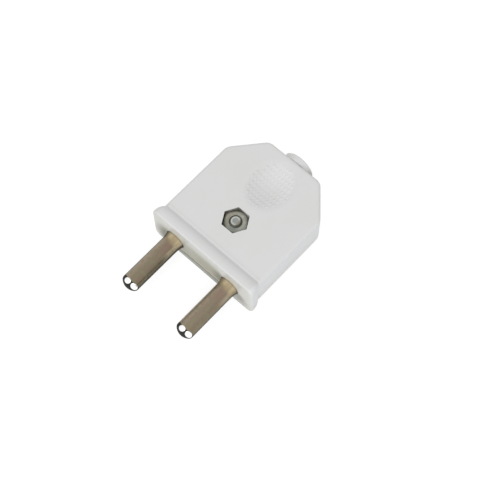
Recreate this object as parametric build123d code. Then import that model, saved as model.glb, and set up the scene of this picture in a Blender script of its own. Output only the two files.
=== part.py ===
from build123d import *
from math import sqrt
import os

# Two-pin mains plug, lying flat. Millimetres. +Z is up, the pins point along -Y and
# +X is to the right. The origin is on the front face, midway between the two pins.

# Pins
PIN_DIA = 5.08
PIN_PITCH = 19.05
PIN_LENGTH = 18.0          # from the front face to the tip
PIN_DOME = 1.7             # height of the rounded tip
TIP_SHOULDER = 1.2         # radius where the tip meets the shank
COLLAR_DIA = 5.85          # in the front wall, and tapering off ahead of it
COLLAR_LENGTH = 2.3
TERMINAL_STEP = 0.55       # the terminal's shoulder beyond the collar
TERMINAL_LENGTH = 9.6
WIRE_HOLE_DIA = 2.8
WIRE_HOLE_DEPTH = 7.4
TERMINAL_FLAT = 2.9        # from the pin's axis to the flat under the screw's head

# Terminal screws
TERMINAL_THREAD = 3.0
TERMINAL_HEAD_DIA = 4.4
TERMINAL_HEAD = 1.2
TERMINAL_SCREW_Y = 8.8

# Outer form
BODY_WIDTH = 32.8
BODY_TOP = 5.3
BODY_BOTTOM = -5.8
BODY_LENGTH = 35.8
STRAIGHT_LENGTH = 27.1     # length of the parallel sides
REAR_WIDTH = 17.7
SHOULDER_RADIUS = 3.2
REAR_RADIUS = 2.9
TOP_EDGE = 0.9
BOTTOM_EDGE = 1.5
LIP_RISE = 1.6             # the front lip above the top face
LIP_PROUD = 0.9            # the front lip beside the sides
LIP_DROP = 0.9             # the front lip below the bottom face
LIP_CORNER = 1.9
LIP_FRONT_EDGE = 0.5
LIP_CREST = 0.8            # end of the lip's level crest, behind the front face
LIP_END = 4.7              # where the lip's slope has run out
LIP_BEND = 0.7             # share of the slope that is rounded outwards
LIP_UNDER = 0.15           # how far the lip's section reaches in below its slope
LIP_LAP = 0.3              # how far the lip's core runs into its section

# Walls and joint line
WALL = 1.8
FRONT_WALL = 3.0
ROOF = 1.5
FLOOR = 1.3
PARTING = -3.6             # height of the joint line between the two shells
JOINT_BEVEL = 0.25
RIM_HEIGHT = 0.8
RIM_WALL = 0.8
FIT = 0.1                  # clearance between pieces that are laid in
CLOSE_FIT = 0.05           # clearance round shanks and threads

# Thumb dish
DISH_WIDTH = 12.2
DISH_LENGTH = 15.3
DISH_DEPTH = 1.2
DISH_TO_REAR = 9.65        # from the dish's middle to the rear end
DISH_PAD = 0.9             # extra roof under the dish
DISH_PAD_MARGIN = 1.0

# Case screw and nut
CASE_SCREW_Y = 12.8
CASE_THREAD = 3.5
CASE_HEAD_DIA = 6.4
CASE_HEAD = 1.5
CASE_SCREW_SHORT = 0.45    # the screw's end below the top face
NUT_FLATS = 6.2
NUT_HEIGHT = 2.8
NUT_BEVEL = 0.4            # height of the slant that takes off the nut's corners
NUT_BEVEL_WIDTH = 0.6
NUT_SUNK = 0.95            # the nut's face below the top face
POCKET_FLATS = 6.6
BOSS_RADIUS = 5.0
BOSS_JOINT = -2.2          # height where the two bosses meet
HEAD_SUNK = 0.1            # the case screw's head above the bottom face
SCREW_HOLE_GAP = 0.2

# Cable outlet
NECK_RADIUS = 4.65
NECK_BORE = 3.2
NECK_HEIGHT = -0.4         # height of the cable's axis
NECK_LENGTH = 2.25
NECK_EDGE = 0.35
NECK_GROOVE = 0.45         # width of the groove between the body and the outlet's flange
NECK_GROOVE_DEPTH = 0.35

# Cord grip
GRIP_TO_REAR = 6.4         # from the bar's middle to the rear end
GRIP_BAR_LENGTH = 18.0
GRIP_SCREW_INSET = 2.3     # from the bar's ends to its screws
GRIP_BAR_WIDTH = 4.8
GRIP_BAR_HEIGHT = 1.6
GRIP_BAR_RIDGE = 0.5
GRIP_SEAT = -1.8           # height of the face that the bar is screwed to
GRIP_BOSS_RADIUS = 2.3
GRIP_THREAD = 2.2
GRIP_HEAD_DIA = 4.0
GRIP_HEAD = 0.8
GRIP_SCREW_LENGTH = 5.4
SADDLE_HEIGHT = 1.6        # height of the saddle's crown over the cable
SADDLE_LENGTH = 3.6

# Ribs round the terminals
CRADLE_Y = (5.2, 12.0)
RIB = 1.2
CRADLE_WALL = 0.6          # the cradles beside a terminal
CRADLE_DROP = 0.8          # the upper cradles end this far below the pin's axis
STOP_DROP = 2.8
KEEPER_RISE = 1.0          # the lower cradles end this far below the pin's axis

# Screws
SLOT_WIDTH = 0.8
SLOT_DEPTH = 0.6
HEAD_EDGE = 0.25           # slanted edge of the case screw's head
SCREW_POINT = 0.4          # slanted edge of the case screw's end

lip_half_width = BODY_WIDTH / 2 + LIP_PROUD
lip_top = BODY_TOP + LIP_RISE
lip_bottom = BODY_BOTTOM - LIP_DROP
lip_core = LIP_RISE + LIP_UNDER
roof = BODY_TOP - ROOF
floor = BODY_BOTTOM + FLOOR
terminal_radius = COLLAR_DIA / 2 + TERMINAL_STEP
terminal_start = FRONT_WALL + FIT
terminal_end = terminal_start + TERMINAL_LENGTH
cradle_reach = terminal_radius + FIT + CRADLE_WALL
neck_end = BODY_LENGTH + NECK_LENGTH
dish_y = BODY_LENGTH - DISH_TO_REAR
grip_y = BODY_LENGTH - GRIP_TO_REAR
grip_reach = GRIP_BAR_LENGTH / 2 - GRIP_SCREW_INSET
pin_sides = {"left": -PIN_PITCH / 2, "right": PIN_PITCH / 2}
grip_sides = {"left": -grip_reach, "right": grip_reach}


def box(x, y, z):
    """Block between the given pairs of limits."""
    size = (x[1] - x[0], y[1] - y[0], z[1] - z[0])
    centre = ((x[0] + x[1]) / 2, (y[0] + y[1]) / 2, (z[0] + z[1]) / 2)
    return Pos(*centre) * Box(*size)


def upright(x, y, radius, low, high):
    """Upright cylinder between two heights."""
    return Pos(x, y, (low + high) / 2) * Cylinder(radius, high - low)


def along_y(x, z, radius, start, end):
    """Cylinder along Y between two distances."""
    return Pos(x, (start + end) / 2, z) * Rot(90, 0, 0) * Cylinder(radius, end - start)


def hexagon(x, y, flats, low, high):
    """Upright hexagonal prism with two of its corners along X."""
    profile = Pos(x, y, low) * RegularPolygon(flats / sqrt(3), 6)
    return extrude(profile, amount=high - low)


# Outer form

def plan_outline():
    """Plan of the body: straight sides, slanted shoulders and a narrow rear."""
    half = BODY_WIDTH / 2
    rear = REAR_WIDTH / 2
    points = [
        (-half, 0),
        (-half, STRAIGHT_LENGTH),
        (-rear, BODY_LENGTH),
        (rear, BODY_LENGTH),
        (half, STRAIGHT_LENGTH),
        (half, 0),
    ]
    face = make_face(Polyline(*points, close=True))
    shoulders = [v for v in face.vertices() if abs(v.Y - STRAIGHT_LENGTH) < 0.01]
    face = fillet(shoulders, SHOULDER_RADIUS)
    rears = [v for v in face.vertices() if abs(v.Y - BODY_LENGTH) < 0.01]
    return fillet(rears, REAR_RADIUS)


def body_block():
    """Body behind the lip, with its top and bottom edges rounded."""
    block = extrude(Pos(0, 0, BODY_BOTTOM) * plan_outline(), amount=BODY_TOP - BODY_BOTTOM)
    rounded = block.edges().filter_by(lambda e: e.center().Y > LIP_FRONT_EDGE)
    block = fillet(rounded.group_by(Axis.Z)[-1], TOP_EDGE)
    rounded = block.edges().filter_by(lambda e: e.center().Y > LIP_FRONT_EDGE)
    block = fillet(rounded.group_by(Axis.Z)[0], BOTTOM_EDGE)
    ahead = box((-BODY_WIDTH, BODY_WIDTH), (-1, LIP_FRONT_EDGE), (2 * BODY_BOTTOM, 2 * BODY_TOP))
    return block - ahead


def lip_outline(inset):
    """Rounded rectangle of the lip, seen from the front, drawn in from its crest."""
    width = 2 * (lip_half_width - inset)
    height = lip_top - lip_bottom - 2 * inset
    centre = (lip_top + lip_bottom) / 2
    plane = Plane(origin=(0, 0, centre), x_dir=(1, 0, 0), z_dir=(0, -1, 0))
    return plane * RectangleRounded(width, height, LIP_CORNER - inset)


def lip_section():
    """Section of the lip: rounded front edge, level crest and hollow slope to the body."""
    u = lip_half_width
    crest_end = (u, LIP_CREST)
    slope_end = (u - LIP_RISE, LIP_END)
    middle = tuple(a + (b - a) * LIP_BEND for a, b in zip(crest_end, slope_end))
    lines = [
        Line((u - lip_core, 0), (u - LIP_FRONT_EDGE, 0)),
        RadiusArc((u - LIP_FRONT_EDGE, 0), (u, LIP_FRONT_EDGE), -LIP_FRONT_EDGE),
        Line((u, LIP_FRONT_EDGE), crest_end),
        TangentArc(crest_end, middle, tangent=(0, 1)),
        TangentArc(slope_end, middle, tangent=(0, -1)),
        Line(slope_end, (u - lip_core, LIP_END)),
        Line((u - lip_core, LIP_END), (u - lip_core, 0)),
    ]
    return Pos(0, 0, (lip_top + lip_bottom) / 2) * make_face(lines)


def lip():
    """Lip that runs round the front of the body."""
    path = lip_outline(0).wire()
    ring = sweep(lip_section(), path=path)
    core = extrude(lip_outline(lip_core - LIP_LAP), amount=-LIP_END)
    return ring + core


def outlet():
    """Round cable outlet: a flange behind a narrow groove."""
    flange = along_y(0, NECK_HEIGHT, NECK_RADIUS, BODY_LENGTH + NECK_GROOVE, neck_end)
    flange = chamfer(flange.edges().filter_by(GeomType.CIRCLE).sort_by(Axis.Y)[-1], NECK_EDGE)
    root = NECK_RADIUS - NECK_GROOVE_DEPTH
    return flange + along_y(0, NECK_HEIGHT, root, BODY_LENGTH - WALL, BODY_LENGTH + 2 * NECK_GROOVE)


def outer_form():
    """Whole outside of the moulding."""
    return body_block() + lip() + outlet()


def cavity(low, high):
    """Inside of the shells between two heights."""
    inner = offset(plan_outline(), -WALL)
    space = extrude(Pos(0, 0, low) * inner, amount=high - low)
    return space - box((-BODY_WIDTH, BODY_WIDTH), (-1, FRONT_WALL), (low - 1, high + 1))


def tongues(gap):
    """Parts of the lower shell that stand above the joint line: pin seats and saddle."""
    pieces = []
    for x in pin_sides.values():
        half = COLLAR_DIA / 2 + gap
        pieces.append(box((x - half, x + half), (-1, FRONT_WALL + gap), (PARTING - 1, 0)))
    half = NECK_RADIUS + gap
    rear = BODY_LENGTH - WALL - gap
    pieces.append(box((-half, half), (rear, neck_end + 1), (PARTING - 1, NECK_HEIGHT)))
    return pieces


def below_joint():
    """Space below the joint line."""
    return box((-BODY_WIDTH, BODY_WIDTH), (-1, neck_end + 1), (2 * lip_bottom, PARTING))


def passages():
    """Holes through the front wall for the pins and the rear wall for the cable."""
    bores = along_y(0, NECK_HEIGHT, NECK_BORE, BODY_LENGTH - 2 * WALL, neck_end + 1)
    for x in pin_sides.values():
        bores += along_y(x, 0, COLLAR_DIA / 2 + CLOSE_FIT, -1, FRONT_WALL + 1)
    return bores


def bevel_joint(half):
    """Small bevel on the outer edge of a half, along the joint line."""
    level = [f for f in half.faces().filter_by(Axis.Z) if abs(f.center().Z - PARTING) < 0.001]
    joint = max(level, key=lambda f: f.area)
    return chamfer(joint.outer_wire().edges(), JOINT_BEVEL)


# Shells

def upper_cavity():
    """Inside of the upper shell, with the roof thickened under the thumb dish."""
    oval = Ellipse(DISH_WIDTH / 2 + DISH_PAD_MARGIN, DISH_LENGTH / 2 + DISH_PAD_MARGIN)
    pad = extrude(Pos(0, dish_y, roof - DISH_PAD) * oval, amount=DISH_PAD + 1)
    return cavity(PARTING - 1, roof) - pad


def thumb_dish():
    """Shallow oval hollow: an arc across the plug, swung about an axis high above it."""
    bottom = BODY_TOP - DISH_DEPTH
    across = ((DISH_WIDTH / 2) ** 2 + DISH_DEPTH ** 2) / (2 * DISH_DEPTH)
    along = ((DISH_LENGTH / 2) ** 2 + DISH_DEPTH ** 2) / (2 * DISH_DEPTH)
    height = 2 * DISH_DEPTH
    half = sqrt(across ** 2 - (across - height) ** 2)
    rim = bottom + height
    section = make_face([
        ThreePointArc((-half, dish_y, rim), (0, dish_y, bottom), (half, dish_y, rim)),
        Line((half, dish_y, rim), (-half, dish_y, rim)),
    ])
    return revolve(section, Axis((0, dish_y, bottom + along), (1, 0, 0)))


def terminal_cradle(x, y):
    """Rib of the upper shell that holds a terminal from above and both sides."""
    rib = box((x - cradle_reach, x + cradle_reach), (y - RIB / 2, y + RIB / 2), (-CRADLE_DROP, roof))
    return rib - along_y(x, 0, terminal_radius + FIT, y - RIB, y + RIB)


def terminal_stop(x):
    """Rib behind a terminal, open downwards for the wire."""
    start = terminal_end + FIT
    rib = box((x - cradle_reach, x + cradle_reach), (start, start + RIB), (-STOP_DROP, roof))
    wire = WIRE_HOLE_DIA / 2 + FIT
    rib -= along_y(x, 0, wire, start - 1, start + RIB + 1)
    return rib - box((x - wire, x + wire), (start - 1, start + RIB + 1), (-STOP_DROP - 1, 0))


def grip_saddle():
    """Rounded crosswise rib of the upper shell that the cable is pressed against."""
    half = NECK_BORE
    reach = SADDLE_LENGTH / 2
    rib = box((-half, half), (grip_y - reach, grip_y + reach), (SADDLE_HEIGHT, roof))
    crown = rib.edges().filter_by(Axis.X).group_by(Axis.Z)[0]
    return fillet(crown, reach - FIT)


def upper_shell():
    """Deep shell with the nut's pocket, the thumb dish and the ribs inside."""
    shell = bevel_joint(outer_form() - below_joint())
    shell -= upper_cavity()
    for piece in tongues(CLOSE_FIT):
        shell -= piece
    shell += upright(0, CASE_SCREW_Y, BOSS_RADIUS, BOSS_JOINT, roof)
    for x in pin_sides.values():
        for y in CRADLE_Y:
            shell += terminal_cradle(x, y)
        shell += terminal_stop(x)
    pilot_end = GRIP_SEAT + GRIP_SCREW_LENGTH - GRIP_BAR_HEIGHT
    for x in grip_sides.values():
        shell += upright(x, grip_y, GRIP_BOSS_RADIUS, GRIP_SEAT, roof)
        shell -= upright(x, grip_y, GRIP_THREAD / 2, GRIP_SEAT - 1, pilot_end)
    shell += grip_saddle()
    shell -= passages()
    pocket = BODY_TOP - NUT_SUNK - NUT_HEIGHT
    shell -= hexagon(0, CASE_SCREW_Y, POCKET_FLATS, pocket, BODY_TOP + 1)
    shell -= upright(0, CASE_SCREW_Y, CASE_THREAD / 2 + SCREW_HOLE_GAP, BOSS_JOINT - 1, BODY_TOP)
    return shell - thumb_dish()


def lower_rim():
    """Raised rim that locates the lower shell inside the upper one."""
    outer = offset(plan_outline(), -WALL - FIT)
    inner = offset(plan_outline(), -WALL - FIT - RIM_WALL)
    ring = extrude(Pos(0, 0, floor) * (outer - inner), amount=PARTING + RIM_HEIGHT - floor)
    front = box((-BODY_WIDTH, BODY_WIDTH), (-1, FRONT_WALL + FIT), (2 * lip_bottom, roof))
    return ring - front


def terminal_keeper(x, y):
    """Rib of the lower shell that holds a terminal from below."""
    half = terminal_radius
    rib = box((x - half, x + half), (y - RIB / 2, y + RIB / 2), (floor, -KEEPER_RISE))
    return rib - along_y(x, 0, half + FIT, y - RIB, y + RIB)


def lower_shell():
    """Shallow shell that closes the plug from below."""
    whole = outer_form()
    shell = bevel_joint(whole & below_joint())
    for piece in tongues(0):
        shell += whole & piece
    shell -= cavity(floor, BODY_TOP)
    shell += lower_rim()
    shell += upright(0, CASE_SCREW_Y, BOSS_RADIUS, floor, BOSS_JOINT)
    for x in pin_sides.values():
        for y in CRADLE_Y:
            shell += terminal_keeper(x, y)
    shell -= passages()
    head_seat = BODY_BOTTOM + CASE_HEAD + HEAD_SUNK
    shell -= upright(0, CASE_SCREW_Y, CASE_HEAD_DIA / 2 + SCREW_HOLE_GAP, lip_bottom, head_seat)
    shell -= upright(0, CASE_SCREW_Y, CASE_THREAD / 2 + SCREW_HOLE_GAP, lip_bottom, 0)
    return shell


# Metal parts

def pin(x):
    """Turned pin: domed tip, shank, collar in the front wall and terminal behind it."""
    r = PIN_DIA / 2
    collar = COLLAR_DIA / 2
    tip = -PIN_LENGTH
    inner = r - TIP_SHOULDER
    rise = PIN_DOME - TIP_SHOULDER
    crown = (inner ** 2 + PIN_DOME ** 2 - TIP_SHOULDER ** 2) / (2 * rise)
    share = crown / (crown - TIP_SHOULDER)
    meet = (inner * share, tip + crown - (crown - PIN_DOME) * share)
    profile = make_face([
        Line((0, tip), (0, terminal_end)),
        Line((0, terminal_end), (terminal_radius, terminal_end)),
        Line((terminal_radius, terminal_end), (terminal_radius, terminal_start)),
        Line((terminal_radius, terminal_start), (collar, terminal_start)),
        Line((collar, terminal_start), (collar, 0)),
        TangentArc((r, -COLLAR_LENGTH), (collar, 0), tangent=(0, 1)),
        Line((r, -COLLAR_LENGTH), (r, tip + PIN_DOME)),
        TangentArc((r, tip + PIN_DOME), meet, tangent=(0, -1)),
        TangentArc((0, tip), meet, tangent=(1, 0)),
    ])
    turned = revolve(profile, Axis.Y)
    turned -= along_y(0, 0, WIRE_HOLE_DIA / 2, terminal_end - WIRE_HOLE_DEPTH, terminal_end + 1)
    across = 2 * terminal_radius
    flat = (terminal_start + RIB, terminal_end - RIB)
    turned -= box((-across, across), flat, (-across, -TERMINAL_FLAT))
    turned -= upright(0, TERMINAL_SCREW_Y, TERMINAL_THREAD / 2, -across, 0)
    return Pos(x, 0, 0) * turned


def slotted_screw(head_radius, head_height, thread_radius, length):
    """Screw with its head's seat at height 0, the shank up and the slotted head down."""
    screw = upright(0, 0, head_radius, -head_height, 0)
    screw += upright(0, 0, thread_radius, -head_height / 2, length)
    reach = head_radius + 1
    half = SLOT_WIDTH / 2
    return screw - box((-reach, reach), (-half, half), (-head_height - 1, SLOT_DEPTH - head_height))


def terminal_screw(x):
    """Screw that clamps the wire in a terminal."""
    length = TERMINAL_FLAT - WIRE_HOLE_DIA / 2 + FIT
    shank = TERMINAL_THREAD / 2 - CLOSE_FIT
    screw = slotted_screw(TERMINAL_HEAD_DIA / 2, TERMINAL_HEAD, shank, length)
    return Pos(x, TERMINAL_SCREW_Y, -TERMINAL_FLAT) * screw


def case_screw():
    """Long screw that holds the two shells together."""
    seat = BODY_BOTTOM + CASE_HEAD + HEAD_SUNK
    length = BODY_TOP - CASE_SCREW_SHORT - seat
    screw = slotted_screw(CASE_HEAD_DIA / 2, CASE_HEAD, CASE_THREAD / 2 - CLOSE_FIT, length)
    screw = chamfer(screw.edges().filter_by(GeomType.CIRCLE).group_by(Axis.Z)[-1], SCREW_POINT)
    screw = chamfer(screw.edges().filter_by(GeomType.CIRCLE).group_by(Axis.Z)[0], HEAD_EDGE)
    return Pos(0, CASE_SCREW_Y, seat) * screw


def case_nut():
    """Hexagon nut in the pocket of the upper shell, its upper corners turned off at a slant."""
    top = BODY_TOP - NUT_SUNK
    nut = hexagon(0, CASE_SCREW_Y, NUT_FLATS, top - NUT_HEIGHT, top)
    corner = NUT_FLATS / sqrt(3)
    turned = upright(0, CASE_SCREW_Y, corner, top - NUT_HEIGHT, top)
    nut &= chamfer(turned.edges().filter_by(GeomType.CIRCLE).sort_by(Axis.Z)[-1], NUT_BEVEL, NUT_BEVEL_WIDTH)
    return nut - upright(0, CASE_SCREW_Y, CASE_THREAD / 2, top - NUT_HEIGHT - 1, top + 1)


def cord_grip_bar():
    """Clamping bar with rounded ends, two screw holes and two gripping ridges."""
    low = GRIP_SEAT - GRIP_BAR_HEIGHT
    outline = Pos(0, grip_y, low) * SlotOverall(GRIP_BAR_LENGTH, GRIP_BAR_WIDTH)
    bar = extrude(outline, amount=GRIP_BAR_HEIGHT)
    for step in (-1, 1):
        ridge = Rot(45, 0, 0) * Box(2 * NECK_BORE, GRIP_BAR_RIDGE, GRIP_BAR_RIDGE)
        bar += Pos(0, grip_y + step * GRIP_BAR_WIDTH / 4, GRIP_SEAT) * ridge
    for x in grip_sides.values():
        bar -= upright(x, grip_y, GRIP_THREAD / 2 + SCREW_HOLE_GAP, low - 1, GRIP_SEAT + 1)
    return bar


def cord_grip_screw(x):
    """Screw that holds one end of the cord grip's bar."""
    shank = GRIP_THREAD / 2 - CLOSE_FIT
    screw = slotted_screw(GRIP_HEAD_DIA / 2, GRIP_HEAD, shank, GRIP_SCREW_LENGTH)
    return Pos(x, grip_y, GRIP_SEAT - GRIP_BAR_HEIGHT) * screw


parts = {
    "upper_shell": upper_shell(),
    "lower_shell": lower_shell(),
    "case_screw": case_screw(),
    "case_nut": case_nut(),
    "cord_grip_bar": cord_grip_bar(),
}
for side, x in pin_sides.items():
    parts[f"{side}_pin"] = pin(x)
    parts[f"{side}_terminal_screw"] = terminal_screw(x)
for side, x in grip_sides.items():
    parts[f"{side}_cord_grip_screw"] = cord_grip_screw(x)

os.makedirs("parts", exist_ok=True)
for name, solid in parts.items():
    export_step(solid, f"parts/{name}.step")
    print(name, "solids", len(solid.solids()), "volume", round(solid.volume, 1))
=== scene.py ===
from math import cos, radians, sin

import bpy
from mathutils import Matrix, Vector


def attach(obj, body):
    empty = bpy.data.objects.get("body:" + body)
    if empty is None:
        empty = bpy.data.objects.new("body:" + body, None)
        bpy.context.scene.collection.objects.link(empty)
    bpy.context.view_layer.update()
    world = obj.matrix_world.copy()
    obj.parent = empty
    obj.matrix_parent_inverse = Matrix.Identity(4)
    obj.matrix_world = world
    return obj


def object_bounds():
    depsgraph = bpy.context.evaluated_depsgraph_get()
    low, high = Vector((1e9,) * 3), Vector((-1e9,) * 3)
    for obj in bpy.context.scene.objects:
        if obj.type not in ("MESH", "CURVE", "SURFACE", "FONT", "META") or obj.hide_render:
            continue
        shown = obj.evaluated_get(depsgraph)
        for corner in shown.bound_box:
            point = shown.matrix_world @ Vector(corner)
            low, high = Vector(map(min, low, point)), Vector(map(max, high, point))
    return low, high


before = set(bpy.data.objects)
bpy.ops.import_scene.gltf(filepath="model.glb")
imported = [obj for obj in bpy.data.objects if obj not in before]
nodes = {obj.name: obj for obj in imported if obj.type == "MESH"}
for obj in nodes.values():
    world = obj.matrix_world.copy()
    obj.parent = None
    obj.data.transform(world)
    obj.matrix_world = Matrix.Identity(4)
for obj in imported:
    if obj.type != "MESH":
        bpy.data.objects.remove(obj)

cadBox = [list(corner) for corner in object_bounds()]
mm = 0.001

# places that several pieces share, in millimetres
places = {
    "pinPitch": 19.05,
    "nutY": 12.8,
    "outletY": 36.03,
    "dishHalfWidth": 6.1,
    "dishHalfLength": 7.65,
    "dishCentreY": 26.15,
    "dishTop": 5.3,
    "dishDepth": 1.2,
    "photoRight": (0.74, 0.67),      # on the top face, the way that is rightward in the photo
}


# Shader maths

class Sock:
    # an output socket that takes part in sums
    def __init__(self, finish, out):
        self.finish = finish
        self.out = out

    def calc(self, how, *others):
        values = {0: self}
        for place, other in enumerate(others):
            values[place + 1] = other
        return self.finish.node("ShaderNodeMath", {"operation": how}, values)

    def __add__(self, other):
        return self.calc("ADD", other)

    def __radd__(self, other):
        return self.calc("ADD", other)

    def __sub__(self, other):
        return self.calc("SUBTRACT", other)

    def __rsub__(self, other):
        return self.finish.node("ShaderNodeMath", {"operation": "SUBTRACT"}, {0: other, 1: self})

    def __mul__(self, other):
        return self.calc("MULTIPLY", other)

    def __rmul__(self, other):
        return self.calc("MULTIPLY", other)

    def __truediv__(self, other):
        return self.calc("DIVIDE", other)

    def __abs__(self):
        return self.calc("ABSOLUTE")

    def root(self):
        return self.calc("SQRT")

    def most(self, other):
        return self.calc("MAXIMUM", other)

    def step(self, low, high):
        # 0 below low, 1 above high, eased between
        settings = {"interpolation_type": "SMOOTHSTEP"}
        values = {"Value": self, "From Min": low, "From Max": high}
        return self.finish.node("ShaderNodeMapRange", settings, values)

    def below(self, edge, soft):
        # 1 below the edge, 0 above it, eased over the soft width
        return 1 - self.step(edge - soft / 2, edge + soft / 2)


class Finish:
    # one material and its nodes; lengths inside are millimetres on the object
    def __init__(self, name):
        self.material = bpy.data.materials.new(name)
        self.material.use_nodes = True
        self.tree = self.material.node_tree
        self.tree.nodes.clear()
        place = self.node("ShaderNodeTexCoord", out="Object")
        scaled = {0: place, "Scale": 1 / mm}
        self.place = self.node("ShaderNodeVectorMath", {"operation": "SCALE"}, scaled)
        self.x, self.y, self.z = self.split(self.place)

    def node(self, kind, settings={}, values={}, out=0):
        made = self.tree.nodes.new(kind)
        for name, value in settings.items():
            setattr(made, name, value)
        for name, value in values.items():
            socket = made.inputs[name]
            if isinstance(value, Sock):
                self.tree.links.new(value.out, socket)
            else:
                socket.default_value = value
        return Sock(self, made.outputs[out]) if len(made.outputs) else None

    def split(self, vector):
        made = self.tree.nodes.new("ShaderNodeSeparateXYZ")
        self.tree.links.new(vector.out, made.inputs[0])
        return [Sock(self, made.outputs[axis]) for axis in "XYZ"]

    def noise(self, size, detail=2.0, stretch=(1, 1, 1)):
        # smooth noise about 0..1 whose lumps are size millimetres across
        scaled = {0: self.place, 1: stretch}
        vector = self.node("ShaderNodeVectorMath", {"operation": "MULTIPLY"}, scaled)
        values = {"Vector": vector, "Scale": 1 / size, "Detail": detail}
        return self.node("ShaderNodeTexNoise", {}, values)

    def mix(self, share, first, second):
        values = {0: share, 6: first, 7: second}
        return self.node("ShaderNodeMix", {"data_type": "RGBA"}, values, out=2)

    def bump(self, height, depth):
        return self.node("ShaderNodeBump", {}, {"Height": height, "Distance": depth * mm})

    def done(self, values):
        surface = self.node("ShaderNodeBsdfPrincipled", {}, values)
        self.node("ShaderNodeOutputMaterial", {}, {"Surface": surface})
        return self.material


def grey(level):
    return (level, level, level, 1.0)


def distance(*offsets):
    total = offsets[0] * offsets[0]
    for offset in offsets[1:]:
        total = total + offset * offset
    return total.root()


def aroundNut(f):
    # millimetres from the nut's axis: rightward and upward in the photo, and in all
    dy = f.y - places["nutY"]
    alongX, alongY = places["photoRight"]
    rightward = f.x * alongX + dy * alongY
    upward = dy * alongX - f.x * alongY
    return rightward, upward, distance(f.x, dy)


def dress(node, material):
    node.data.materials.clear()
    node.data.materials.append(material)


# White moulding

# a pair of numbers is where a mask begins and where it is full, or else its edge and softness
moulding = {
    "colour": (0.712, 0.714, 0.710, 1.0),
    "warmColour": (0.692, 0.690, 0.672, 1.0),
    # painted light: the right side face is made lighter and cooler
    "warmClouds": (0.35, 0.75),
    "paintedSideLight": (0.755, 0.770, 0.785, 1.0),
    "sideLightX": (15.9, 16.3),
    "sideLightZ": (-3.0, 1.0),
    "roughness": 0.38,
    "cloudSize": 9.0,
    "grainSize": 0.35,
    "grainHeight": 0.005,
}

frontLook = {
    "tint": (0.715, 0.716, 0.672, 1.0),
    # painted shade towards the bottom of the front face
    "low": (0.52, 0.52, 0.485, 1.0),
    "between": (0.378, 0.372, 0.270, 1.0),        # painted shade and reflection of the pins on the face between them
    "paintedPinShadow": (0.205, 0.190, 0.118, 1.0),
    "mottle": (0.300, 0.235, 0.180, 1.0),
    # painted highlight along the edge above the joint
    "paintedEdgeHighlight": (0.60, 0.54, 0.45, 1.0),
    "darkLine": (0.265, 0.258, 0.180, 1.0),
    # painted shade on the strip below the joint
    "paintedLowBandShade": (0.335, 0.352, 0.325, 1.0),
    "faceY": (0.35, 0.7),                         # edge, softness
    "tintTop": (6.3, 1.0),                        # edge, softness
    "lowZ": (-5.2, 0.8),
    "lowLeft": (-16.0, -12.0),
    "lowRight": (15.5, 3.5),                      # edge, softness
    "betweenTop": 3.4,
    "betweenDip": 2.0,                            # how much lower it stays beside the pins
    "dipX": (5.4, 7.8),
    "betweenSoft": 4.6,
    "betweenX": -1.5,
    "betweenReach": (10.5, 4.0),                  # edge, softness
    "betweenGrow": (-6.5, 2.0),
    # painted shadows of the pins beside them, partly painted reflection: x, z, full within, gone
    # beyond, share
    "patches": (
        (-12.3, -1.7, 1.3, 5.2, 0.92),
        (6.4, -0.4, 0.6, 3.5, 0.93),
        (12.9, -2.2, 0.5, 2.6, 0.52),
    ),
    "patchHeight": 0.85,                          # below 1 is taller than wide
    "markSize": 2.2,
    "jointX": -0.8,
    "jointReach": (10.0, 3.0),                    # edge, softness
    "mottleSize": 1.3,
    "mottleStretch": (0.55, 1.0, 1.3),
    "mottleLumps": (0.55, 0.72),
    "mottleTop": (1.5, 4.0),                      # edge, softness
    "lightLineZ": -2.9,
    "lightLineWidth": (0.40, 0.5),                # edge, softness
    "darkLineZ": -4.05,
    "darkLineWidth": (0.46, 0.4),                 # edge, softness
    "lowBandTop": (-4.45, 0.3),                   # edge, softness
}


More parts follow.
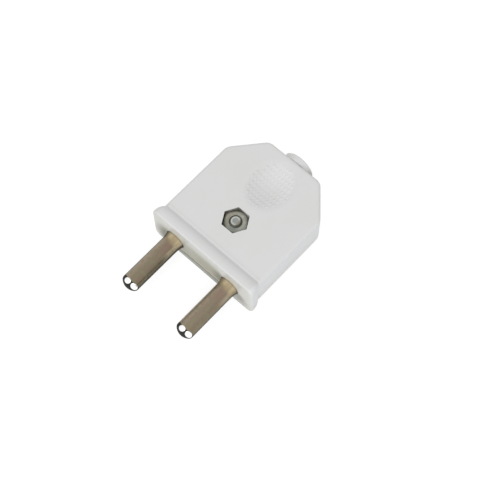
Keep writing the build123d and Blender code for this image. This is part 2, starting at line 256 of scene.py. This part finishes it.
def shadeFront(f, colour):
    look = frontLook
    # noise that varies the strength of the painted shade and highlight
    paintedShadeNoise = f.noise(look["markSize"], 4.0)
    front = f.y.below(*look["faceY"])
    colour = f.mix(front * f.z.below(*look["tintTop"]), colour, look["tint"])

    # painted shade, darker towards the bottom of the front face
    low = (1 - f.z.step(*look["lowZ"])) * front
    low = low * f.x.below(*look["lowRight"]) * f.x.step(*look["lowLeft"])
    colour = f.mix(low, colour, look["low"])

    # painted shade and reflection of the pins on the face between them
    top = look["betweenTop"] - abs(f.x).step(*look["dipX"]) * look["betweenDip"]
    wide = abs(f.x - look["betweenX"]).below(*look["betweenReach"])
    between = f.z.below(top, look["betweenSoft"]) * wide * front
    strength = 0.70 + f.x.step(*look["betweenGrow"]) * 0.30
    colour = f.mix(between * strength * (0.9 + paintedShadeNoise * 0.15), colour, look["between"])

    # painted shadows that the pins throw on the front face
    for x, z, near, far, share in look["patches"]:
        away = distance(f.x - x, (f.z - z) * look["patchHeight"])
        dark = (1 - away.step(near, far)) * front
        colour = f.mix(dark * (share - 0.12 + paintedShadeNoise * 0.25), colour, look["paintedPinShadow"])

    inner = abs(f.x - look["jointX"]).below(*look["jointReach"]) * front
    lumps = f.noise(look["mottleSize"], 2.0, look["mottleStretch"]).step(*look["mottleLumps"])
    mottle = lumps * inner * f.z.below(*look["mottleTop"])
    colour = f.mix(mottle * 0.30, colour, look["mottle"])
    # painted highlight along the edge above the joint
    paintedEdgeHighlight = abs(f.z - look["lightLineZ"]).below(*look["lightLineWidth"]) * inner
    colour = f.mix(paintedEdgeHighlight * (0.45 + paintedShadeNoise * 0.4), colour, look["paintedEdgeHighlight"])
    # painted shade on the strip below the joint
    colour = f.mix(f.z.below(*look["lowBandTop"]) * inner * 0.92, colour, look["paintedLowBandShade"])
    darkLine = abs(f.z - look["darkLineZ"]).below(*look["darkLineWidth"]) * inner
    return f.mix(darkLine * 0.95, colour, look["darkLine"])


pocketLook = {
    "grime": (0.085, 0.080, 0.056, 1.0),
    "radius": 3.95,
    "top": 5.05,
    "bottom": (0.0, 0.5),
    "everywhere": 0.30,              # shares of the painted shade and dirt
    "leftMore": 0.66,
    "leftTurn": (-0.2, 0.9),         # cosine from the left
    "rearMore": 0.42,
    "rearTurn": (0.5, 0.95),         # cosine from the rear
}


def shadePocket(f, colour):
    look = pocketLook
    rightward, upward, radius = aroundNut(f)
    apart = radius.most(0.1)
    left = (rightward * -1 / apart).step(*look["leftTurn"]) * look["leftMore"]
    rear = (upward / apart).step(*look["rearTurn"]) * look["rearMore"]
    # painted shade and dirt in the nut's pocket, most on its left and rear walls
    pocket = radius.below(look["radius"], 0.1) * f.z.below(look["top"], 0.3) * f.z.step(*look["bottom"])
    return f.mix(pocket * (look["everywhere"] + left.most(rear)), colour, look["grime"])


dishLook = {
    # painted shade on the dish's front part and painted light on its rear part
    "front": (0.615, 0.617, 0.610, 1.0),
    "rear": (0.742, 0.755, 0.745, 1.0),
    "oval": (0.82, 1.02),
    "aboveZ": (3.0, 3.5),
    "slant": 0.9,                    # how much further the shade reaches on the left
    "frontFade": (16.0, 30.0),
    "rearGrow": (26.0, 33.0),
    "rimSpread": 1.32,
}


def dishOval(f):
    # 0 at the dish's middle and 1 at its rim
    dy = f.y - places["dishCentreY"]
    return distance(f.x / places["dishHalfWidth"], dy / places["dishHalfLength"])


def shadeDish(f, colour, oval):
    look = dishLook
    dish = (1 - oval.step(*look["oval"])) * f.z.step(*look["aboveZ"])
    # painted shade and painted light across the dish
    slant = f.y + f.x * look["slant"]
    colour = f.mix(dish * (1 - slant.step(*look["frontFade"])) * 0.55, colour, look["front"])
    return f.mix(dish * slant.step(*look["rearGrow"]) * 0.7, colour, look["rear"])


def easeRim(f, oval):
    # height in millimetres that rounds the shading of the dish's sharp rim
    look = dishLook
    sharp = (1 - oval * oval).most(0.0)
    worn = (1 - oval * oval / look["rimSpread"]).most(0.0)
    return (sharp - worn * worn) * f.z.step(*look["aboveZ"]) * places["dishDepth"]


outletLook = {
    "light": (0.870, 0.860, 0.845, 1.0),
    "shade": (0.265, 0.258, 0.180, 1.0),
    "grooveWidth": (0.40, 0.5),      # edge, softness
    "lightFade": (0.0, 2.0),
    "shadeGrow": (1.0, 4.6),
    "flankX": (3.2, 4.5),
    "flankRise": 0.4,
}


def shadeOutlet(f, colour):
    look = outletLook
    start = places["outletY"]
    # painted light in the groove's left part, painted shade at its right end and on the flank
    ring = abs(f.y - start).below(*look["grooveWidth"])
    colour = f.mix(ring * (1 - f.x.step(*look["lightFade"])) * 0.9, colour, look["light"])
    colour = f.mix(ring * f.x.step(*look["shadeGrow"]) * 0.35, colour, look["shade"])
    flank = f.x.step(*look["flankX"]) * f.y.step(start, start + look["flankRise"])
    return f.mix(flank * 0.45, colour, look["shade"])


def whiteMoulding(name):
    f = Finish(name)
    look = moulding
    clouds = f.noise(look["cloudSize"], 3.0)
    grain = f.noise(look["grainSize"], 3.0)
    oval = dishOval(f)
    colour = f.mix(clouds.step(*look["warmClouds"]) * 0.4, look["colour"], look["warmColour"])
    colour = shadeFront(f, colour)
    colour = shadePocket(f, colour)
    colour = shadeDish(f, colour, oval)
    # painted light on the right side face
    side = f.x.step(*look["sideLightX"]) * f.z.step(*look["sideLightZ"])
    colour = f.mix(side * 0.7, colour, look["paintedSideLight"])
    colour = shadeOutlet(f, colour)
    roughness = look["roughness"] + (clouds - 0.5) * 0.10 + (grain - 0.5) * 0.06
    bumps = f.bump(easeRim(f, oval) + grain * look["grainHeight"], 1.0)
    return f.done({"Base Color": colour, "Roughness": roughness, "Normal": bumps})


white = whiteMoulding("white_moulding")
dress(nodes["upper_shell"], white)
dress(nodes["lower_shell"], white)
print("white moulding done")


# Plated pins

pinLook = {
    "shade": (0.135, 0.112, 0.072, 1.0),         # along the side away from the light
    "middle": (0.200, 0.166, 0.117, 1.0),
    "light": (0.320, 0.268, 0.198, 1.0),
    "outline": (0.070, 0.077, 0.060, 1.0),       # painted shade along the silhouette seen from above
    "outlineShade": (0.040, 0.034, 0.018, 1.0),
    "gleam": (0.740, 0.635, 0.470, 1.0),
    "footColour": (0.340, 0.275, 0.170, 1.0),    # where the pin widens into its collar
    # painted highlight streaks near the collar
    "paintedFootHighlight": (0.500, 0.420, 0.280, 1.0),
    "seat": (0.075, 0.066, 0.040, 1.0),          # where the pin enters the housing
    "violet": (0.225, 0.168, 0.130, 1.0),        # faint tarnish, as the next three are
    "russet": (0.250, 0.172, 0.118, 1.0),
    "plum": (0.245, 0.160, 0.128, 1.0),
    "olive": (0.215, 0.200, 0.125, 1.0),
    "lean": 16.2,                                # degrees that the painted light and shade are turned about the pin
    "middleAside": (-0.80, 0.05),
    "bandAside": (0.42, 1.0),
    "bandFade": (-8.0, -3.2),
    "baseY": (-7.0, -3.0),
    "plumAside": (0.36, 0.5),                    # edge, softness
    "plumStart": (-8.0, -4.5),
    "plumEnd": (-2.6, -1.2),
    "gleamAside": 0.66,
    "gleamWidth": (0.15, 0.36),                  # edge, softness
    "gleamGrow": (-7.5, -3.2),
    "footY": (-3.2, -1.2),
    "streakAside": 0.48,
    "streakWidth": (0.16, 0.3),                  # edge, softness
    "otherStreakAside": -0.50,
    "otherStreakWidth": (0.20, 0.36),            # edge, softness
    "otherStreakY": (-2.2, -0.9),
    "seatY": (-0.45, 0.1),
    "roughness": 0.36,
    "scratchHeight": 0.003,
}
leftPin = {
    "name": "plated_pin_left",
    "side": -1,
    "shade": 0.95,           # share of the dark band
    "lighter": (0.0, 0.0),   # share along the shank, and more of it near the base
    "gleam": 0.95,
    "limb": 0.38,            # width of the dark edge on the light side
    "shadeLimb": 0.50,
}
rightPin = {
    "name": "plated_pin_right",
    "side": 1,
    "shade": 0.35,
    "lighter": (0.15, 0.25),
    "gleam": 0.22,
    "limb": 0.10,
    "shadeLimb": 0.41,
}
tipLook = {
    # painted reflections on the pin tips: two bright lamp spots in a dark field
    "dark": (0.012, 0.012, 0.010, 1.0),
    "bright": (0.96, 0.96, 0.95, 1.0),
    "domeStart": -16.3,
    "rise": 0.3046,          # slant of the dark field's edge: along the pin for each millimetre up
    "fieldEdge": (0.62, 0.15),   # edge, softness
    "fieldEnd": 0.25,        # how far behind the dome's start the field may reach
    "spotEnd": 1.5,          # and how far the bright spots may
    "spotAside": 0.23,       # the middle between the two spots
    "spotOffset": 1.12,
    "spotForward": -0.05,
    "spotWidth": 0.90,
    "spotLength": 0.83,
    "spotWiden": 0.14,       # how much wider the second spot is
}


def paintedTipReflections(f, across, facing):
    # painted reflections on the dome: the two bright spots, and the dark field that they lie in
    look = tipLook
    along = f.y - look["domeStart"] + facing * look["rise"]
    second = (across - look["spotAside"]).step(-0.05, 0.05)
    wide = look["spotWidth"] + (second - 0.5) * look["spotWiden"]
    u = (along - look["spotForward"]) / look["spotLength"]
    v = (abs(across - look["spotAside"]) - look["spotOffset"]) / wide
    paintedSpot = distance(u, v).below(1.0, 0.12) * facing.step(0.0, 0.3)
    paintedDarkField = along.below(*look["fieldEdge"]) * f.y.below(look["domeStart"] + look["fieldEnd"], 0.1)
    paintedDarkField = paintedDarkField.most(paintedSpot * f.y.below(look["domeStart"] + look["spotEnd"], 0.1))
    return paintedSpot, paintedDarkField


def tarnish(f, colour):
    # the stained colour, and the specks that other stains follow
    look = pinLook
    blotches = f.noise(2.6, 3.0, (1.0, 0.45, 1.0))
    specks = f.noise(1.1, 2.0, (1.0, 0.8, 1.0))
    colour = f.mix(blotches.step(0.5, 0.75) * 0.45, colour, look["violet"])
    colour = f.mix(specks.step(0.52, 0.66) * 0.60, colour, look["russet"])
    return f.mix((1 - specks.step(0.36, 0.48)) * 0.55, colour, look["olive"]), specks


def platedPin(pin):
    f = Finish(pin["name"])
    look = pinLook
    dx = f.x - pin["side"] * places["pinPitch"] / 2
    lean = radians(look["lean"])
    across = dx * cos(lean) - f.z * sin(lean)
    facing = dx * sin(lean) + f.z * cos(lean)
    radius = distance(dx, f.z).most(0.01)
    aside = across / radius                      # -1 on the light side, 1 away from it
    streaks = f.noise(0.5, 3.0, (1.6, 0.12, 1.6))

    colour = f.mix(1 - aside.step(*look["middleAside"]), look["middle"], look["light"])
    band = aside.step(*look["bandAside"]) * (1 - f.y.step(*look["bandFade"]) * 0.9)
    colour = f.mix(band * pin["shade"], colour, look["shade"])
    colour, specks = tarnish(f, colour)
    shank, base = pin["lighter"]
    colour = f.mix(f.y.step(*look["baseY"]) * base + shank, colour, look["light"])
    plum = abs(aside + 0.05).below(*look["plumAside"])
    plum = plum * f.y.step(*look["plumStart"]) * (1 - f.y.step(*look["plumEnd"]))
    colour = f.mix(plum * (0.25 + specks * 0.6), colour, look["plum"])

    foot = f.y.step(*look["footY"])
    colour = f.mix(foot * 0.85, colour, look["footColour"])
    gleam = abs(aside - look["gleamAside"]).below(*look["gleamWidth"])
    gleam = gleam * (0.05 + f.y.step(*look["gleamGrow"]) * 0.95)
    colour = f.mix(gleam * pin["gleam"], colour, look["gleam"])
    # painted highlight streaks near the collar
    footHighlightMask = abs(aside - look["streakAside"]).below(*look["streakWidth"])
    other = abs(aside - look["otherStreakAside"]).below(*look["otherStreakWidth"])
    footHighlightMask = footHighlightMask.most(other * f.y.step(*look["otherStreakY"]))
    colour = f.mix(footHighlightMask * foot, colour, look["paintedFootHighlight"])

    # painted shade along the pin's silhouette, darker on the side away from the light
    shadeSide = aside.step(-0.3, 0.3)
    width = pin["limb"] + shadeSide * (pin["shadeLimb"] - pin["limb"])
    width = width + foot * (0.15 - shadeSide * 0.12)
    limb = (facing / radius).below(width, 0.4)
    outline = f.mix(aside.step(0.0, 0.6) * pin["shade"], look["outline"], look["outlineShade"])
    colour = f.mix(limb * 0.9, colour, outline)
    colour = f.mix(f.y.step(*look["seatY"]) * 0.6, colour, look["seat"])

    paintedSpot, paintedDarkField = paintedTipReflections(f, across, facing)
    colour = f.mix(paintedDarkField, colour, f.mix(paintedSpot, tipLook["dark"], tipLook["bright"]))
    dull = (limb * (1 - paintedDarkField)).most(paintedDarkField * (1 - paintedSpot))
    roughness = look["roughness"] + (streaks - 0.5) * 0.18 + foot * 0.22 - paintedSpot * 0.10 + dull * 0.45
    return f.done({
        "Base Color": colour,
        "Metallic": 1 - dull * 0.9,
        "Roughness": roughness,
        "Normal": f.bump(streaks, look["scratchHeight"]),
    })


dress(nodes["left_pin"], platedPin(leftPin))
dress(nodes["right_pin"], platedPin(rightPin))
print("pins done")


# Steel nut and screws

fixing = {
    "bright": (0.330, 0.325, 0.275, 1.0),
    "dull": (0.200, 0.192, 0.150, 1.0),
    # painted highlight on the turned chamfer rings
    "rim": (0.50, 0.52, 0.48, 1.0),
    # dirt, and painted shade in the thread, the pocket and the nut's corners
    "grime": (0.040, 0.037, 0.026, 1.0),
    "patchSize": 1.1,
    "turningSize": 0.16,
    "ringTurns": 26,                 # radians of turned groove in a millimetre
    "ringHeight": 0.003,
    "roughness": 0.30,
}
nutLook = {
    "cool": (0.200, 0.216, 0.196, 1.0),
    "rust": (0.330, 0.255, 0.200, 1.0),
    "corner": (0.240, 0.236, 0.190, 1.0),
    "litCorner": (0.350, 0.355, 0.310, 1.0),
    "coolTurn": (0.3, 3.0),
    "cornerSide": (1.4, 2.4),
    "litSide": (2.2, 3.0),
    "arcRadius": 2.25,
    "arcWidth": (0.30, 0.3),         # edge, softness
    "arcSide": (0.6, 1.8),
    "rustLumps": (0.45, 0.6),
    "rustSide": (0.9, 2.2),
    "faceEnd": (2.7, 3.05),
    "leftCorner": (2.2, 3.0),
    "rightCorner": (2.5, 3.2),
    "rearCorner": (2.4, 3.0),
    "boreX": -0.09,
    "boreY": 0.10,
    "boreRadius": 1.72,
}
screwEndLook = {
    "disc": (0.262, 0.292, 0.286, 1.0),
    "dullSide": (0.4, 1.1),
    "arcRadius": 1.06,
    "arcWidth": (0.22, 0.16),        # edge, softness
    "arcFade": (0.35, 0.9),
    "threadStart": (1.20, 1.34),
    "aboveZ": (0.0, 0.5),
}


def turnedSteel(f, colour, radius, threadDirtAndShade, corner):
    # painted shade and dirt darken the thread, and the turned face ends at the corners
    look = fixing
    turning = f.noise(look["turningSize"], 2.0)
    rings = (radius * look["ringTurns"]).calc("SINE") * 0.5 + 0.5
    dirtAndShadeShare = threadDirtAndShade * (0.76 + abs(f.x).step(0.6, 1.3) * 0.16)
    return f.done({
        "Base Color": f.mix(dirtAndShadeShare, colour, look["grime"]),
        "Metallic": 1 - threadDirtAndShade * 0.8 - corner * 0.85,
        "Roughness": look["roughness"] + (turning - 0.5) * 0.15 + threadDirtAndShade * 0.3 + corner * 0.4,
        "Normal": f.bump(rings * 0.5 + turning * 0.5, look["ringHeight"]),
    })


def steelNut(name):
    f = Finish(name)
    look = nutLook
    dy = f.y - places["nutY"]
    rightward, upward, radius = aroundNut(f)
    patches = f.noise(fixing["patchSize"], 3.0)
    colour = f.mix(patches.step(0.35, 0.7), fixing["bright"], fixing["dull"])
    colour = f.mix((f.x - dy).step(*look["coolTurn"]) * 0.8, colour, look["cool"])
    colour = f.mix(f.x.step(*look["cornerSide"]) * 0.5, colour, look["corner"])
    # painted highlight arc on the chamfer ring
    arc = abs(radius - look["arcRadius"]).below(*look["arcWidth"])
    arc = arc * (f.x + dy * 0.5).step(*look["arcSide"])
    colour = f.mix(arc * 0.3, colour, fixing["rim"])
    corner = radius.step(*look["faceEnd"])
    colour = f.mix(corner, colour, look["corner"])
    colour = f.mix(corner * f.x.step(*look["litSide"]), colour, look["litCorner"])
    rust = patches.step(*look["rustLumps"]) * (f.x * -0.9 + dy * 0.2).step(*look["rustSide"])
    colour = f.mix(rust * 0.6, colour, look["rust"])
    # painted shade and reflection on the nut's left and far corners, where they face the pocket's walls
    colour = f.mix((rightward * -1).step(*look["leftCorner"]) * 0.7, colour, fixing["grime"])
    farCorners = rightward.step(*look["rightCorner"]).most(upward.step(*look["rearCorner"]))
    colour = f.mix(farCorners * 0.55, colour, fixing["grime"])
    threadDirtAndShade = distance(f.x - look["boreX"], dy - look["boreY"]).below(look["boreRadius"], 0.2)
    return turnedSteel(f, colour, radius, threadDirtAndShade, corner)


def steelScrewEnd(name):
    f = Finish(name)
    look = screwEndLook
    radius = distance(f.x, f.y - places["nutY"])
    patches = f.noise(fixing["patchSize"], 3.0)
    colour = f.mix(patches.step(0.3, 0.7), look["disc"], fixing["bright"])
    colour = f.mix(f.x.step(*look["dullSide"]) * 0.8, colour, fixing["dull"])
    # painted highlight arc on the end's chamfer
    arc = abs(radius - look["arcRadius"]).below(*look["arcWidth"])
    arc = arc * (1 - f.x.step(*look["arcFade"]))
    colour = f.mix(arc * 0.85, colour, fixing["rim"])
    # painted shade and dirt in the thread
    threadDirtAndShade = radius.step(*look["threadStart"]) * f.z.step(*look["aboveZ"])
    return turnedSteel(f, colour, radius, threadDirtAndShade, 0)


dress(nodes["case_nut"], steelNut("steel_nut"))
dress(nodes["case_screw"], steelScrewEnd("steel_screw"))


zincLook = {
    "bright": (0.55, 0.55, 0.52, 1.0),
    "dull": (0.42, 0.42, 0.36, 1.0),
    "patchSize": 0.8,
    "roughness": 0.3,
}


def zincScrew(name):
    f = Finish(name)
    look = zincLook
    patches = f.noise(look["patchSize"], 3.0)
    colour = f.mix(patches.step(0.3, 0.7), look["bright"], look["dull"])
    roughness = look["roughness"] + patches * 0.1
    return f.done({"Base Color": colour, "Metallic": 1.0, "Roughness": roughness})


zinc = zincScrew("zinc_screw")
for side in ("left", "right"):
    dress(nodes[side + "_terminal_screw"], zinc)
    dress(nodes[side + "_cord_grip_screw"], zinc)


fibreLook = {
    "pale": (0.72, 0.71, 0.68, 1.0),
    "dark": (0.62, 0.60, 0.55, 1.0),
    "size": 0.4,
    "stretch": (1.0, 0.3, 1.0),
    "height": 0.02,
    "roughness": 0.7,
}


def pressedFibre(name):
    f = Finish(name)
    look = fibreLook
    fibres = f.noise(look["size"], 4.0, look["stretch"])
    colour = f.mix(fibres.step(0.3, 0.7), look["pale"], look["dark"])
    bumps = f.bump(fibres, look["height"])
    return f.done({"Base Color": colour, "Roughness": look["roughness"], "Normal": bumps})


dress(nodes["cord_grip_bar"], pressedFibre("grip_fibre"))
print("metal and fibre done")


# Grip dots in the thumb dish

dots = {
    "Columns": 11,
    "Rows": 10,
    "Pitch X": 1.13 * mm,
    "Pitch Y": 1.53 * mm,
    "Dot Width": 0.50 * mm,
    "Dot Length": 0.68 * mm,
    "Dot Height": 0.20 * mm,
    "Dot Sink": 0.14 * mm,
    "Dot Segments": 14,
    "Dot Rings": 8,
    "Half Width": places["dishHalfWidth"] * mm,
    "Half Length": places["dishHalfLength"] * mm,
    "Centre Y": places["dishCentreY"] * mm,
    "Top": places["dishTop"] * mm,
    "Depth": places["dishDepth"] * mm,
    "Kept Within": 0.90,             # of the oval's reach, squared
}


class GeoTree:
    # a Geometry Nodes tree with named inputs for its sizes
    def __init__(self, name, inputs):
        self.tree = bpy.data.node_groups.new(name, "GeometryNodeTree")
        self.tree.interface.new_socket("Geometry", in_out="OUTPUT", socket_type="NodeSocketGeometry")
        self.idents = {}
        for label, value in inputs.items():
            kind = "NodeSocketInt" if isinstance(value, int) else "NodeSocketFloat"
            socket = self.tree.interface.new_socket(label, in_out="INPUT", socket_type=kind)
            socket.default_value = value
            self.idents[label] = socket.identifier
        self.given = self.tree.nodes.new("NodeGroupInput")
        self.result = self.tree.nodes.new("NodeGroupOutput")

    def size(self, label):
        return self.given.outputs[label]

    def node(self, kind, settings={}, values={}, out=0):
        made = self.tree.nodes.new(kind)
        for name, value in settings.items():
            setattr(made, name, value)
        for name, value in values.items():
            if isinstance(value, bpy.types.NodeSocket):
                self.tree.links.new(value, made.inputs[name])
            else:
                made.inputs[name].default_value = value
        return made.outputs[out]

    def calc(self, how, first, second):
        return self.node("ShaderNodeMath", {"operation": how}, {0: first, 1: second})

    def finish(self, geometry):
        self.tree.links.new(geometry, self.result.inputs[0])


def gripDots(material):
    # rows of low round bumps, kept where they lie in the oval and set on its floor
    g = GeoTree("grip_dots_tree", dots)
    gapX = g.calc("SUBTRACT", g.size("Columns"), 1)
    gapY = g.calc("SUBTRACT", g.size("Rows"), 1)
    grid = g.node("GeometryNodeMeshGrid", {}, {
        "Size X": g.calc("MULTIPLY", gapX, g.size("Pitch X")),
        "Size Y": g.calc("MULTIPLY", gapY, g.size("Pitch Y")),
        "Vertices X": g.size("Columns"),
        "Vertices Y": g.size("Rows"),
    })
    place = g.node("GeometryNodeInputPosition")
    split = g.tree.nodes.new("ShaderNodeSeparateXYZ")
    g.tree.links.new(place, split.inputs[0])
    shareX = g.calc("DIVIDE", split.outputs["X"], g.size("Half Width"))
    shareY = g.calc("DIVIDE", split.outputs["Y"], g.size("Half Length"))
    reach = g.calc("ADD", g.calc("MULTIPLY", shareX, shareX), g.calc("MULTIPLY", shareY, shareY))
    limit = {"A": reach, "B": g.size("Kept Within")}
    outside = g.node("FunctionNodeCompare", {"operation": "GREATER_THAN"}, limit)
    dropped = {"Geometry": grid, "Selection": outside}
    kept = g.node("GeometryNodeDeleteGeometry", {"domain": "POINT"}, dropped)
    sunk = g.calc("MULTIPLY", g.calc("SUBTRACT", 1.0, reach), g.size("Depth"))
    height = g.calc("SUBTRACT", g.calc("SUBTRACT", g.size("Top"), sunk), g.size("Dot Sink"))
    moved = g.node("ShaderNodeCombineXYZ", {}, {
        "X": split.outputs["X"],
        "Y": g.calc("ADD", split.outputs["Y"], g.size("Centre Y")),
        "Z": height,
    })
    laid = g.node("GeometryNodeSetPosition", {}, {"Geometry": kept, "Position": moved})
    ball = g.node("GeometryNodeMeshUVSphere", {}, {
        "Segments": g.size("Dot Segments"),
        "Rings": g.size("Dot Rings"),
        "Radius": 1.0,
    })
    flat = g.node("ShaderNodeCombineXYZ", {}, {
        "X": g.size("Dot Width"),
        "Y": g.size("Dot Length"),
        "Z": g.size("Dot Height"),
    })
    placed = {"Points": laid, "Instance": ball, "Scale": flat}
    bumps = g.node("GeometryNodeInstanceOnPoints", {}, placed)
    solid = g.node("GeometryNodeRealizeInstances", {}, {"Geometry": bumps})
    smooth = g.node("GeometryNodeSetShadeSmooth", {}, {"Geometry": solid})
    g.finish(g.node("GeometryNodeSetMaterial", {}, {"Geometry": smooth, "Material": material}))

    carrier = bpy.data.objects.new("grip_dots_maker", bpy.data.meshes.new("grip_dots_maker"))
    bpy.context.scene.collection.objects.link(carrier)
    modifier = carrier.modifiers.new("dots", "NODES")
    modifier.node_group = g.tree
    for label, value in dots.items():
        modifier[g.idents[label]] = value
    ready = carrier.evaluated_get(bpy.context.evaluated_depsgraph_get())
    mesh = bpy.data.meshes.new_from_object(ready)
    bpy.data.objects.remove(carrier)
    mesh.name = "grip_dots"
    piece = bpy.data.objects.new("grip_dots", mesh)
    bpy.context.scene.collection.objects.link(piece)
    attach(piece, "root")


gripDots(white)
print("grip dots done")


# Floor, light and camera

room = {
    "floorSize": 3.0,
    "floorGlow": 0.80,               # as the camera sees it
    "floorShade": 0.30,
    "floorGrey": 0.80,               # as it lights the plug
    "worldLight": 0.62,
}


def paleFloor():
    low = cadBox[0][2]
    half = room["floorSize"] / 2
    corners = [(-half, -half, low), (half, -half, low), (half, half, low), (-half, half, low)]
    mesh = bpy.data.meshes.new("floor")
    mesh.from_pydata(corners, [], [(0, 1, 2, 3)])
    floor = bpy.data.objects.new("floor", mesh)
    bpy.context.scene.collection.objects.link(floor)
    f = Finish("pale_floor")
    path = f.tree.nodes.new("ShaderNodeLightPath")
    seen = Sock(f, path.outputs["Is Camera Ray"])
    seen = seen.most(Sock(f, path.outputs["Is Glossy Ray"]))
    seen = seen.most(Sock(f, path.outputs["Is Transmission Ray"]))
    glow = f.node("ShaderNodeEmission", {}, {"Color": grey(1.0), "Strength": room["floorGlow"]})
    shade = f.node("ShaderNodeBsdfDiffuse", {}, {"Color": grey(room["floorShade"])})
    shown = f.node("ShaderNodeAddShader", {}, {0: glow, 1: shade})
    plain = f.node("ShaderNodeBsdfDiffuse", {}, {"Color": grey(room["floorGrey"])})
    surface = f.node("ShaderNodeMixShader", {}, {0: seen, 1: plain, 2: shown})
    f.node("ShaderNodeOutputMaterial", {}, {"Surface": surface})
    mesh.materials.append(f.material)


def softWorld():
    world = bpy.data.worlds.new("soft_world")
    bpy.context.scene.world = world
    world.use_nodes = True
    tree = world.node_tree
    tree.nodes.clear()
    path = tree.nodes.new("ShaderNodeLightPath")
    seen = tree.nodes.new("ShaderNodeMath")
    seen.operation = "MAXIMUM"
    tree.links.new(path.outputs["Is Camera Ray"], seen.inputs[0])
    tree.links.new(path.outputs["Is Glossy Ray"], seen.inputs[1])
    light = tree.nodes.new("ShaderNodeBackground")
    light.inputs["Strength"].default_value = room["worldLight"]
    plain = tree.nodes.new("ShaderNodeBackground")
    plain.inputs["Strength"].default_value = 1.0
    for ground in (light, plain):
        ground.inputs["Color"].default_value = grey(1.0)
    mixed = tree.nodes.new("ShaderNodeMixShader")
    tree.links.new(seen.outputs[0], mixed.inputs[0])
    tree.links.new(light.outputs[0], mixed.inputs[1])
    tree.links.new(plain.outputs[0], mixed.inputs[2])
    out = tree.nodes.new("ShaderNodeOutputWorld")
    tree.links.new(mixed.outputs[0], out.inputs[0])


viewPoint = {
    "azimuth": 42.36,
    "elevation": 66.71,
    "distance": 309.5 * mm,
    "target": (6.79 * mm, 10.82 * mm, 0.0),
    "focalPixels": 1200.0,           # in a frame 500 pixels wide
    "framePixels": 500.0,
    "sensor": 36.0,
    "clipStart": 0.01,
}
target = Vector(viewPoint["target"])

keyLight = {
    "azimuth": 28,
    "elevation": 54,
    "distance": 0.8,
    "size": 0.7,
    "power": 3.2,
}


def outward(azimuth, elevation):
    # from the target: azimuth 0 is in front of the pins, elevation 90 straight above
    a, e = radians(azimuth), radians(elevation)
    return Vector((sin(a) * cos(e), -cos(a) * cos(e), sin(e)))


def softBox(name, look):
    away = outward(look["azimuth"], look["elevation"])
    lamp = bpy.data.lights.new(name, "AREA")
    lamp.shape = "SQUARE"
    lamp.size = look["size"]
    lamp.energy = look["power"]
    made = bpy.data.objects.new(name, lamp)
    made.location = target + away * look["distance"]
    made.rotation_euler = away.to_track_quat("Z", "Y").to_euler()
    bpy.context.scene.collection.objects.link(made)


def photoCamera():
    away = outward(viewPoint["azimuth"], viewPoint["elevation"])
    a = radians(viewPoint["azimuth"])
    right = Vector((cos(a), sin(a), 0.0))
    up = away.cross(right)
    turn = Matrix((right, up, away)).transposed().to_4x4()
    camera = bpy.data.cameras.new("camera")
    camera.sensor_width = viewPoint["sensor"]
    camera.lens = camera.sensor_width * viewPoint["focalPixels"] / viewPoint["framePixels"]
    camera.clip_start = viewPoint["clipStart"]
    made = bpy.data.objects.new("camera", camera)
    made.matrix_world = Matrix.Translation(target + away * viewPoint["distance"]) @ turn
    bpy.context.scene.collection.objects.link(made)
    bpy.context.scene.camera = made


paleFloor()
softWorld()
softBox("key_light", keyLight)
photoCamera()
bpy.context.scene.view_settings.view_transform = "Standard"
print("floor, light and camera done")
